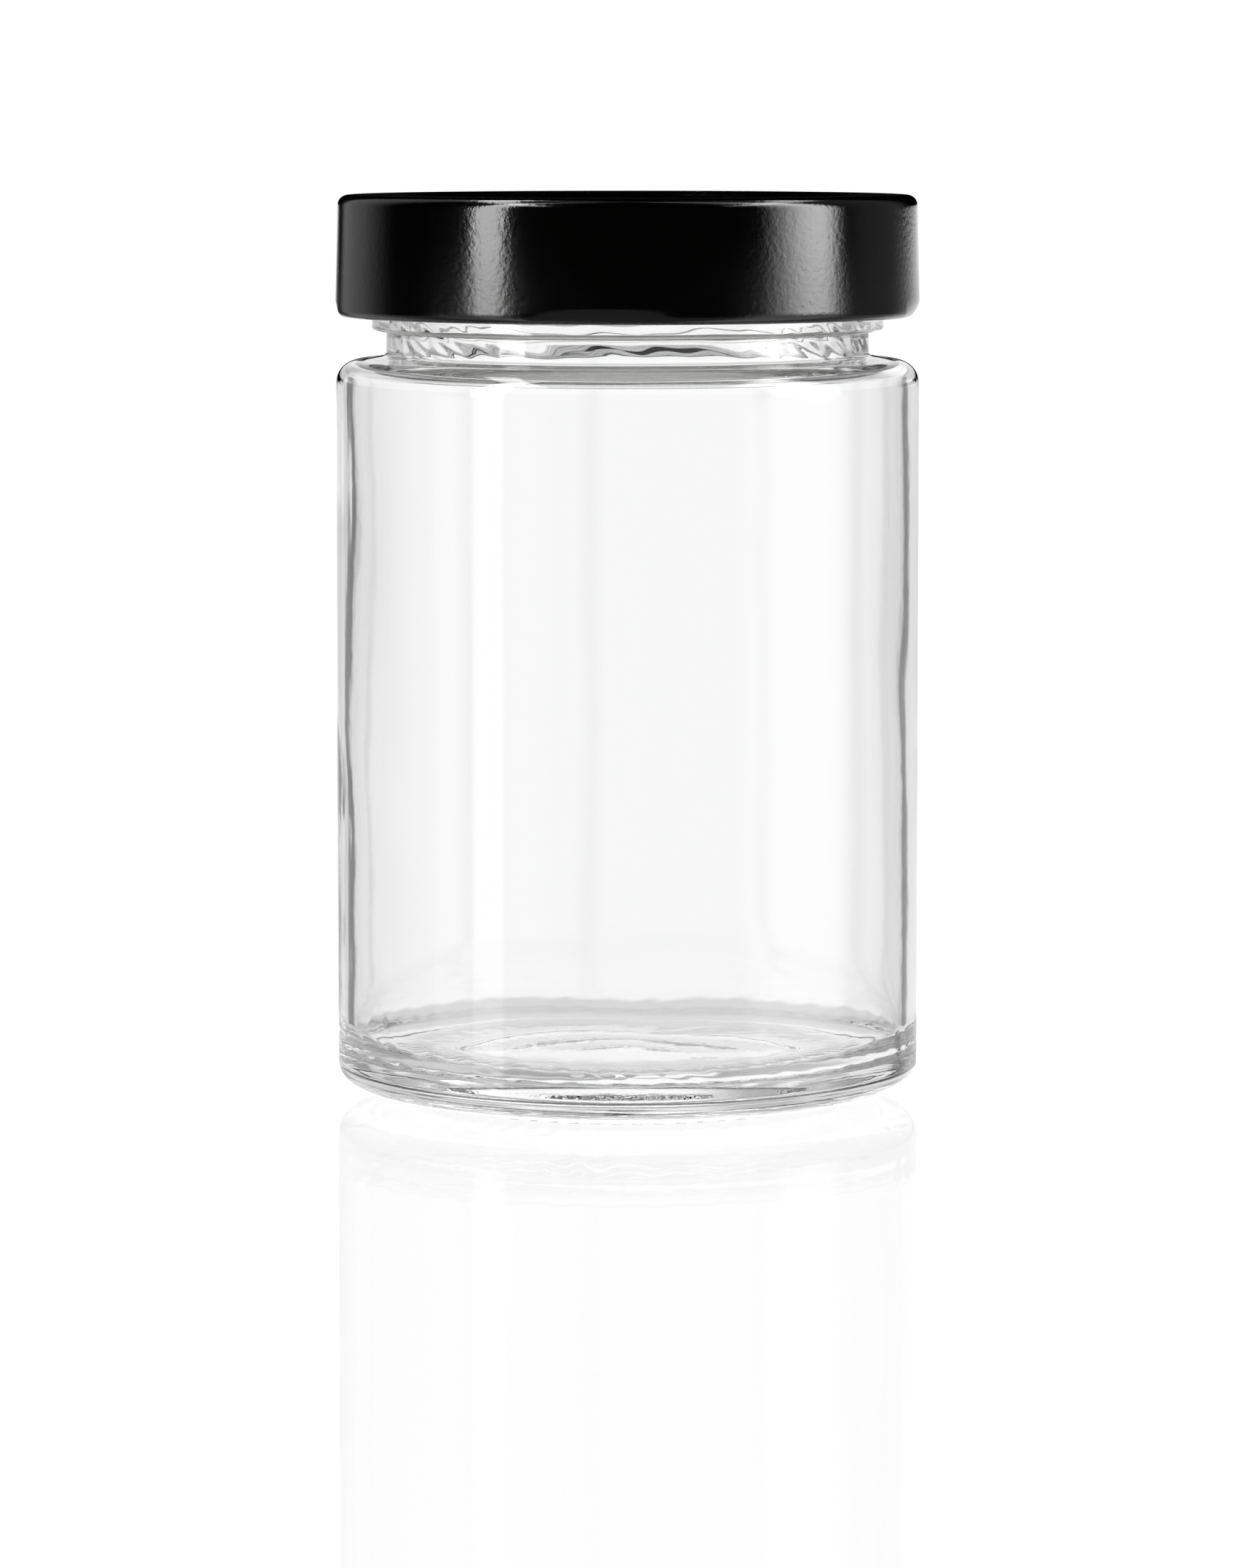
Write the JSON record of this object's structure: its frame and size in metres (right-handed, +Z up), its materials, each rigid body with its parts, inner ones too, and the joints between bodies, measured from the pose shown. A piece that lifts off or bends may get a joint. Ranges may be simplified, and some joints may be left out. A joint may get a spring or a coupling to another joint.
{
  "type": "glass jar with twist-off lid",
  "caption": "Straight-sided clear glass jar with a deep, smooth black steel twist-off lid, flush with the wall, for storing or showing small dry things.",
  "frame": {"origin": "centre of the ring that the jar stands on, on the jar's axis", "axes": "+Z up along the jar's axis through the lid; -Y towards the front, where one lid lug lies a few degrees left of centre; +X to the right"},
  "size_m": [0.073, 0.073, 0.1133],
  "materials": {
    "clear_glass": "clear colourless soda-lime glass, fire polished, slightly uneven inside",
    "black_lacquer": "satin black baked lacquer on drawn tinplate",
    "sealing_compound": "off-white soft vinyl compound, smooth, semi-matt"
  },
  "bodies": {
    "jar": {"glass_jar": "clear_glass"},
    "seal": {"sealing_ring": "sealing_compound"},
    "lid": {"lid_shell": "black_lacquer"}
  },
  "joints": [
    {"name": "lid_rise", "type": "slide", "parent": "jar", "child": "seal", "axis": [0, 0, 1], "range_m": [0, 0.01667]},
    {"name": "lid_turn", "type": "hinge", "parent": "seal", "child": "lid", "pos_m": [0, 0, 0], "axis": [0, 0, 1], "range_deg": [0, 300]}
  ],
  "couplings": [
    {"joint": "lid_rise", "follows": "lid_turn", "m_per_rad": 0.0031831}
  ]
}
